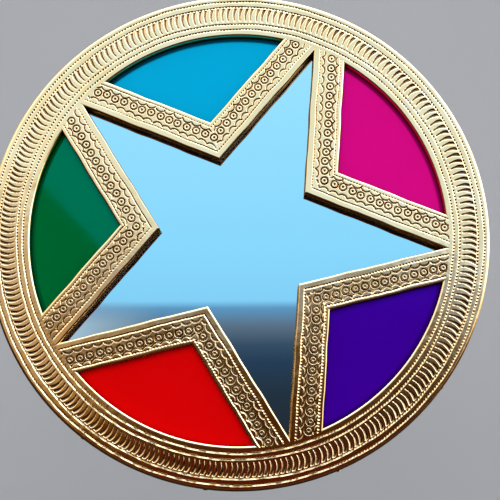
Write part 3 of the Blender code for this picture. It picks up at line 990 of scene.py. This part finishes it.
Stops = tuple[tuple[float, Colour], ...]
BRASS_GLOW_LEFT: Stops = (
    (-0.60, (0.10, 0.012, 0.006)), (-0.38, (0.10, 0.014, 0.006)), (-0.25, (0.14, 0.05, 0.010)),
    (-0.07, (0.40, 0.25, 0.09)), (0.17, (0.54, 0.42, 0.33)), (0.74, (0.62, 0.60, 0.60)),
    (1.05, (0.94, 1.17, 1.50)), (1.90, (0.88, 1.18, 1.62)))
BRASS_GLOW_RIGHT: Stops = (
    (-0.60, (0.13, 0.012, 0.004)), (-0.38, (0.12, 0.012, 0.004)), (-0.25, (0.07, 0.022, 0.005)),
    (-0.07, (0.075, 0.036, 0.010)), (0.12, (0.115, 0.08, 0.045)), (0.26, (0.19, 0.17, 0.15)),
    (0.36, (0.33, 0.36, 0.44)), (0.50, (0.34, 0.44, 0.70)), (0.60, (0.52, 0.68, 1.05)),
    (0.75, (0.88, 1.18, 1.66)), (1.90, (0.86, 1.18, 1.64)))
ROOM_GLOW_LEFT: Stops = (
    (-1.0, (0.015, 0.007, 0.003)), (-0.12, (0.02, 0.01, 0.004)), (-0.02, (0.11, 0.07, 0.035)),
    (0.08, (0.27, 0.20, 0.12)), (0.40, (0.42, 0.39, 0.36)), (1.0, (0.85, 1.0, 1.30)))
ROOM_GLOW_RIGHT: Stops = (
    (-1.0, (0.015, 0.007, 0.003)), (-0.12, (0.02, 0.01, 0.004)), (-0.02, (0.13, 0.09, 0.06)),
    (0.08, (0.44, 0.40, 0.36)), (0.40, (0.75, 0.86, 1.10)), (1.0, (0.95, 1.17, 1.60)))


def set_stops(node: bpy.types.Node, stops: Stops) -> None:
    """Set the stops of a colour ramp that runs from -1 m to 2 m of height."""
    items = node.color_ramp.elements
    while len(items) < len(stops):
        items.new(0.5)
    for item, (height, colour) in zip(items, stops):
        item.position = (height + 1.0) / 3.0
        item.color = (*colour, 1.0)


@dataclass
class Studio:
    """Floor, backdrop, panels, lamps and camera, in metres."""

    camera_place: Vector
    camera_aim: Vector
    camera_roll: float
    brass: list[bpy.types.Object]
    lens: float = 72.0
    floor_height: float = -0.75
    backdrop_place: float = 1.8
    panel_place: float = -4.0
    key_distance: float = 3.6
    key_slant: float = math.radians(14.0)
    key_size: float = 2.4
    key_power: float = 93.0
    room_glow: float = 0.8
    room_fill: float = 0.4

    def build(self) -> None:
        """Build everything round the mirror."""
        self.set_view()
        self.camera()
        self.floor()
        self.backdrop()
        self.panel()
        self.flag()
        self.world()
        self.key_lamp()
        self.brass_lamp()

    def set_view(self) -> None:
        """Plain colour handling."""
        bpy.context.scene.view_settings.view_transform = "Standard"

    def camera(self) -> None:
        """Camera at the photograph's angle."""
        data = bpy.data.cameras.new("camera")
        data.sensor_width = 36.0
        data.lens = self.lens
        data.clip_end = 60.0
        item = bpy.data.objects.new("camera", data)
        ahead = (self.camera_aim - self.camera_place).normalized()
        level = ahead.cross(Vector((0.0, 0.0, 1.0))).normalized()
        above = level.cross(ahead)
        right = level * math.cos(self.camera_roll) + above * math.sin(self.camera_roll)
        up = right.cross(ahead)
        turn = Matrix((right, up, -ahead)).transposed().to_4x4()
        item.matrix_world = Matrix.Translation(self.camera_place) @ turn
        bpy.context.scene.collection.objects.link(item)
        bpy.context.scene.camera = item

    def plane(self, name: str, width: float, height: float, matrix: Matrix,
              material: bpy.types.Material) -> bpy.types.Object:
        """Add a flat stage piece.

        Args:
            name: its name.
            width: its width.
            height: its height.
            matrix: its place, from a plane in X and Y.
            material: its material.

        Returns:
            The stage piece.
        """
        bm = bmesh.new()
        bmesh.ops.create_grid(bm, x_segments=1, y_segments=1, size=0.5)
        bmesh.ops.scale(bm, vec=(width, height, 1.0), verts=bm.verts)
        bmesh.ops.transform(bm, matrix=matrix, verts=bm.verts)
        mesh = bpy.data.meshes.new(name)
        bm.to_mesh(mesh)
        bm.free()
        mesh.materials.append(material)
        item = bpy.data.objects.new(name, mesh)
        bpy.context.scene.collection.objects.link(item)
        return item

    def plain(self, name: str, colour: Colour) -> bpy.types.Material:
        """Matt stage paint with a faint mottle."""
        graph = ShaderGraph(name)
        graph.fix(Roughness=0.9, Specular_IOR_Level=0.1)
        darker = tuple(0.96 * part for part in colour)
        graph.drive("Base Color", graph.blend(graph.noise(3.0, 3.0), colour, darker))
        return graph.material

    def floor(self) -> None:
        """Plain pale floor."""
        self.plane("floor", 9.0, 9.0, Matrix.Translation((0.0, 0.0, self.floor_height)),
                   self.plain("floor_paint", (0.66, 0.66, 0.67)))

    def backdrop(self) -> None:
        """Plain pale wall behind, far enough away for a look at the back."""
        stand = Matrix.Translation((0.0, self.backdrop_place, 0.0)) @ Matrix.Rotation(math.radians(90.0), 4, "X")
        self.plane("backdrop", 9.0, 9.0, stand, self.plain("backdrop_paint", (0.62, 0.63, 0.65)))

    def before(self, place: float, middle: float) -> Matrix:
        """Matrix of an upright plane before the mirror, level with the camera's frame."""
        return (Matrix.Translation((0.0, place, 0.0)) @ Matrix.Rotation(-self.camera_roll, 4, "Y")
                @ Matrix.Translation((0.0, 0.0, middle)) @ Matrix.Rotation(math.radians(90.0), 4, "X"))

    def panel(self) -> None:
        """Sky above dark ground on a panel in front, seen only in reflections."""
        graph = ShaderGraph("sky_panel")
        level = graph.add("ShaderNodeMapping")
        level.inputs["Rotation"].default_value = (0.0, self.camera_roll, 0.0)
        graph.links.new(graph.place, level.inputs["Vector"])
        axes = graph.add("ShaderNodeSeparateXYZ")
        graph.links.new(level.outputs["Vector"], axes.inputs["Vector"])
        up = axes.outputs["Z"]
        sky = self.ramp(graph, graph.remap(up, -1.0, 2.0), (
            (-0.18, (0.018, 0.028, 0.042)), (-0.02, (0.019, 0.034, 0.054)), (0.135, (0.021, 0.051, 0.098)),
            (0.22, (0.042, 0.083, 0.140)), (0.307, (0.113, 0.173, 0.248)), (0.394, (0.119, 0.33, 0.57)),
            (0.43, (0.25, 0.68, 1.0)), (0.70, (0.277, 0.74, 1.06)), (1.65, (0.36, 0.83, 1.1))))
        side = axes.outputs["X"]
        haze = graph.math("MULTIPLY", graph.remap(side, -0.45, -0.85), graph.remap(up, 0.45, 0.32))
        haze = graph.math("MULTIPLY", haze, graph.remap(up, 0.10, 0.20))
        shade_edge = graph.math("ADD", graph.math("MULTIPLY", side, 0.733), graph.math("MULTIPLY", up, 0.680))
        frame_edge = graph.math("SUBTRACT", graph.math("MULTIPLY", side, 0.743), graph.math("MULTIPLY", up, 0.669))
        shade = graph.math("MULTIPLY", graph.remap(shade_edge, -0.072, -0.078), graph.remap(frame_edge, -0.91, -0.93))
        shade = graph.math("MULTIPLY", shade, graph.remap(side, -1.17, -1.09, 0.4, 1.0))
        colour = graph.blend(shade, graph.blend(haze, sky, (0.38, 0.55, 0.68)), (0.05, 0.08, 0.05))
        glow = graph.add("ShaderNodeEmission")
        graph.links.new(colour, glow.inputs["Color"])
        graph.links.new(glow.outputs["Emission"], graph.nodes["Material Output"].inputs["Surface"])
        item = self.plane("sky_panel", 3.4, 3.4, self.before(self.panel_place, 0.75), graph.material)
        item.visible_camera = False
        item.visible_diffuse = False
        glossy = ["mirror_glass"] + [f"{colour.label}_pane" for colour in PaneColour]
        self.shine_on(item, "glossy_pieces", [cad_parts[node] for node in glossy])

    def ramp(self, graph: ShaderGraph, up: bpy.types.NodeSocket,
             stops: Stops) -> bpy.types.NodeSocket:
        """Colour ramp over the panel's height.

        Args:
            graph: the panel's node tree.
            up: height from -1 m to 2 m, as 0 to 1.
            stops: heights in metres and their colours.

        Returns:
            The colour.
        """
        node = graph.add("ShaderNodeValToRGB")
        set_stops(node, stops)
        graph.links.new(up, node.inputs["Fac"])
        return node.outputs["Color"]

    def flag(self) -> None:
        """Dark cloth on the ground in front, which only the metal's reflections see."""
        item = self.plane("ground_flag", 8.0, 6.1, Matrix.Translation((0.0, -1.3, self.floor_height + 0.02)),
                          self.plain("flag_cloth", (0.05, 0.025, 0.012)))
        item.visible_camera = False
        item.visible_diffuse = False
        item.visible_shadow = False
        item.visible_transmission = False

    def world(self) -> None:
        """Pale room, which gloss sees bright above and dark below, and of which less falls on matt surfaces."""
        world = bpy.data.worlds.new("pale_room")
        world.use_nodes = True
        tree = world.node_tree
        rays = tree.nodes.new("ShaderNodeLightPath")
        plain = tree.nodes["Background"]
        plain.inputs["Color"].default_value = (0.86, 0.88, 0.92, 1.0)
        share = tree.nodes.new("ShaderNodeMapRange")
        share.inputs["To Min"].default_value = self.room_fill
        share.inputs["To Max"].default_value = self.room_glow
        either = tree.nodes.new("ShaderNodeMath")
        either.operation = "MAXIMUM"
        tree.links.new(rays.outputs["Is Camera Ray"], either.inputs[0])
        tree.links.new(rays.outputs["Is Transmission Ray"], either.inputs[1])
        tree.links.new(either.outputs["Value"], share.inputs["Value"])
        tree.links.new(share.outputs["Result"], plain.inputs["Strength"])
        level = Matrix.Rotation(-0.5 * self.camera_roll, 3, "Y")
        way = tree.nodes.new("ShaderNodeTexCoord").outputs["Generated"]
        rise = self.measured(tree, way, level @ Vector((0.0, 0.0, 1.0)), -1.0, 2.0)
        right = self.measured(tree, way, level @ Vector((1.0, 0.0, 0.0)), -0.45, 0.15)
        colour = self.two_sided(tree, rise, right, ROOM_GLOW_LEFT, ROOM_GLOW_RIGHT)
        gloss = tree.nodes.new("ShaderNodeBackground")
        gloss.inputs["Strength"].default_value = 4.2
        tree.links.new(colour, gloss.inputs["Color"])
        mixed = tree.nodes.new("ShaderNodeMixShader")
        tree.links.new(rays.outputs["Is Glossy Ray"], mixed.inputs["Fac"])
        tree.links.new(plain.outputs["Background"], mixed.inputs[1])
        tree.links.new(gloss.outputs["Background"], mixed.inputs[2])
        tree.links.new(mixed.outputs["Shader"], tree.nodes["World Output"].inputs["Surface"])
        bpy.context.scene.world = world

    def lamp(self, name: str, width: float, height: float, power: float, matrix: Matrix) -> bpy.types.Object:
        """Add a large flat lamp.

        Args:
            name: its name.
            width: its width.
            height: its height.
            power: its power in watts.
            matrix: its place; it shines along its own -Z.

        Returns:
            The lamp.
        """
        data = bpy.data.lights.new(name, "AREA")
        data.shape = "RECTANGLE"
        data.size = width
        data.size_y = height
        data.energy = power
        item = bpy.data.objects.new(name, data)
        item.matrix_world = matrix
        item.visible_camera = False
        bpy.context.scene.collection.objects.link(item)
        return item

    def key_lamp(self) -> None:
        """Large soft lamp above and in front."""
        up = Matrix.Rotation(-self.camera_roll, 3, "Y") @ Vector((0.0, 0.0, math.sin(self.key_slant)))
        spot = self.key_distance * (up + Vector((0.0, -math.cos(self.key_slant), 0.0)))
        turn = (-spot).to_track_quat("-Z", "Y").to_matrix().to_4x4()
        item = self.lamp("key_lamp", self.key_size, self.key_size, self.key_power, Matrix.Translation(spot) @ turn)
        item.visible_glossy = False

    def brass_lamp(self) -> None:
        """Wide glow before the sky panel that falls on the brass alone, brown towards the ground."""
        width, height, middle = 4.4, 3.6, 0.8
        item = self.lamp("brass_lamp", width, height, math.pi * width * height,
                         self.before(self.panel_place + 0.1, middle))
        item.data.use_nodes = True
        tree = item.data.node_tree
        place = tree.nodes.new("ShaderNodeNewGeometry").outputs["Position"]
        level = Matrix.Rotation(-self.camera_roll, 3, "Y")
        lift = tree.nodes.new("ShaderNodeMath")
        lift.operation = "MULTIPLY_ADD"
        tree.links.new(self.measured(tree, place, level @ Vector((1.0, 0.0, 0.0)), 0.92, 1.02), lift.inputs[0])
        lift.inputs[1].default_value = 0.065
        tree.links.new(self.measured(tree, place, level @ Vector((0.0, 0.0, 1.0)), -1.0, 2.0), lift.inputs[2])
        right = self.measured(tree, place, level @ Vector((1.0, 0.0, 0.0)), -1.0, -0.35)
        colour = self.two_sided(tree, lift.outputs["Value"], right, BRASS_GLOW_LEFT, BRASS_GLOW_RIGHT)
        tree.links.new(colour, tree.nodes["Emission"].inputs["Color"])
        self.shine_on(item, "brass_pieces", self.brass)

    def two_sided(self, tree: bpy.types.NodeTree, rise: bpy.types.NodeSocket, right: bpy.types.NodeSocket,
                  left_stops: Stops, right_stops: Stops) -> bpy.types.NodeSocket:
        """Glow that changes with the height and from the left to the right.

        Args:
            tree: the node tree.
            rise: height from -1 to 2, as 0 to 1.
            right: share of the right-hand glow.
            left_stops: heights and colours of the left-hand glow.
            right_stops: heights and colours of the right-hand glow.

        Returns:
            The colour.
        """
        mixed = tree.nodes.new("ShaderNodeMix")
        mixed.data_type = "RGBA"
        tree.links.new(right, mixed.inputs["Factor"])
        for socket, stops in ((6, left_stops), (7, right_stops)):
            ramp = tree.nodes.new("ShaderNodeValToRGB")
            set_stops(ramp, stops)
            tree.links.new(rise, ramp.inputs["Fac"])
            tree.links.new(ramp.outputs["Color"], mixed.inputs[socket])
        return mixed.outputs[2]

    def measured(self, tree: bpy.types.NodeTree, place: bpy.types.NodeSocket, way: Vector, low: float,
                 high: float) -> bpy.types.NodeSocket:
        """Share of the way from low to high along a direction.

        Args:
            tree: the node tree.
            place: output with the place or direction to measure.
            way: direction to measure along.
            low: measure that gives 0.
            high: measure that gives 1.

        Returns:
            The share, clamped.
        """
        along = tree.nodes.new("ShaderNodeVectorMath")
        along.operation = "DOT_PRODUCT"
        along.inputs[1].default_value = way
        tree.links.new(place, along.inputs[0])
        share = tree.nodes.new("ShaderNodeMapRange")
        share.inputs["From Min"].default_value = low
        share.inputs["From Max"].default_value = high
        tree.links.new(along.outputs["Value"], share.inputs["Value"])
        return share.outputs["Result"]

    def shine_on(self, light: bpy.types.Object, name: str, pieces: list[bpy.types.Object]) -> None:
        """Let a lamp or glowing panel fall on some pieces alone."""
        group = bpy.data.collections.new(name)
        for piece in pieces:
            group.objects.link(piece)
        light.light_linking.receiver_collection = group


def main() -> None:
    """Build the mirror's looks and the studio round it."""
    logging.basicConfig(level=logging.INFO, format="%(name)s: %(message)s")
    plan = MirrorPlan()
    finish = BrassFinish()
    punched = finish.material("punched_brass", True)
    brass = EngravedRing(plan, RingRelief(), punched).build()
    for colour in PaneColour:
        hard = colour in (PaneColour.RED, PaneColour.VIOLET)
        brass.append(Chevron(plan, BandRelief() if hard else BandRelief.light(), punched, colour).build())
    dress("mirror_glass", LookingGlassFinish().material("looking_glass"))
    board = WoodFinish((0.56, 0.39, 0.23), (0.40, 0.26, 0.14)).material("plywood")
    # the last number of a pane is the strength of its painted lip shadow, strongest on the turquoise pane at the top
    Panes({
        PaneColour.TURQUOISE: ResinFinish((0.001, 0.37, 0.66), (0.001, 0.34, 0.61), (0.02, 0.8, 1.0), 0.85),
        PaneColour.GREEN: ResinFinish((0.0, 0.128, 0.027), (0.0, 0.112, 0.022), (0.0, 1.0, 0.85), 0.5),
        PaneColour.RED: ResinFinish((0.70, 0.001, 0.002), (0.66, 0.001, 0.001), (1.0, 0.02, 0.03)),
        PaneColour.VIOLET: ResinFinish((0.045, 0.0, 0.31), (0.038, 0.0, 0.28), (0.25, 0.02, 1.0), 0.4),
        PaneColour.MAGENTA: ResinFinish((0.70, 0.002, 0.22), (0.64, 0.001, 0.19), (1.0, 0.03, 0.4), 0.6),
    }, board).dress()
    stained = WoodFinish((0.035, 0.022, 0.013), (0.014, 0.009, 0.006))
    WoodenCore(stained, stained.material("rim_wood"), board).dress()
    Fixings(BrassFinish(clean=finish.dull, warm=finish.dull).material("tack_brass", False), ZincFinish().material("zinc")).dress()
    Studio(Vector((0.07066, -0.80194, -0.13099)), Vector((0.01390, -0.021, -0.00873)), math.radians(22.4127),
           brass).build()


if __name__ == "__main__":
    main()
